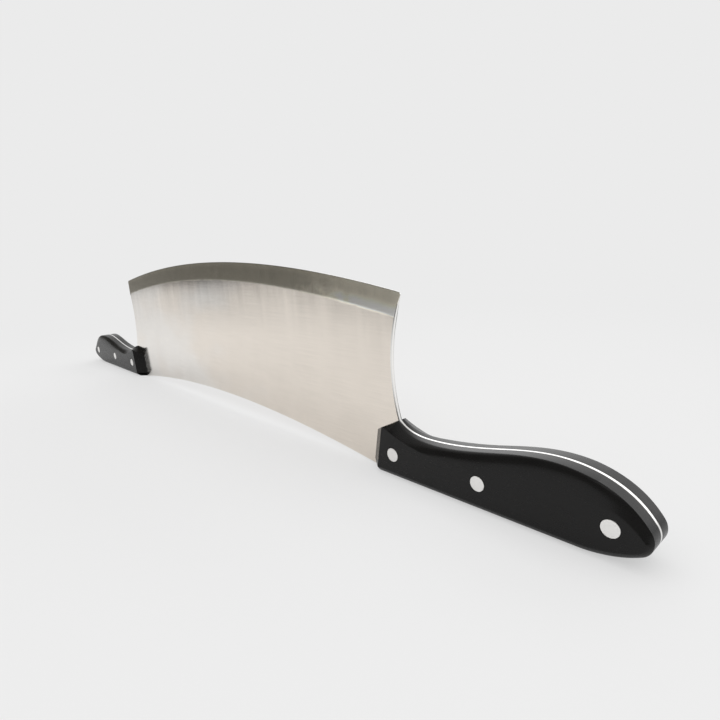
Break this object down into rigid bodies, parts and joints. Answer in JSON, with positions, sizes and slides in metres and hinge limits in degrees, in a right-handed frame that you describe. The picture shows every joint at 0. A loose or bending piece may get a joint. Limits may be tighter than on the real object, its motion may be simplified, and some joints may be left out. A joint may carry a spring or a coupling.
{
  "type": "two-handled meat cleaver",
  "caption": "Broad steel rocking blade with a convex ground edge, a hollow spine and riveted black handles at both ends.",
  "frame": {"origin": "on the plane of the two straight handle backs, under the middle of the blade, in the middle of its thickness", "axes": "+X along the blade towards the right handle, +Y through the blade's thickness from front to back, +Z from the handle backs to the cutting edge"},
  "size_m": [0.5918, 0.017, 0.1076],
  "materials": {
    "blade_steel": "satin, ground edge",
    "handle_plastic": "satin moulded black",
    "rivet_metal": "ground flush, satin"
  },
  "bodies": {
    "root": {"blade": "blade_steel", "right_front_scale": "handle_plastic", "right_back_scale": "handle_plastic", "right_inner_rivet_shank": "rivet_metal", "right_inner_rivet_tube": "rivet_metal", "right_middle_rivet_shank": "rivet_metal", "right_middle_rivet_tube": "rivet_metal", "right_outer_rivet_shank": "rivet_metal", "right_outer_rivet_tube": "rivet_metal", "left_front_scale": "handle_plastic", "left_back_scale": "handle_plastic", "left_inner_rivet_shank": "rivet_metal", "left_inner_rivet_tube": "rivet_metal", "left_middle_rivet_shank": "rivet_metal", "left_middle_rivet_tube": "rivet_metal", "left_outer_rivet_shank": "rivet_metal", "left_outer_rivet_tube": "rivet_metal"}
  },
  "joints": []
}
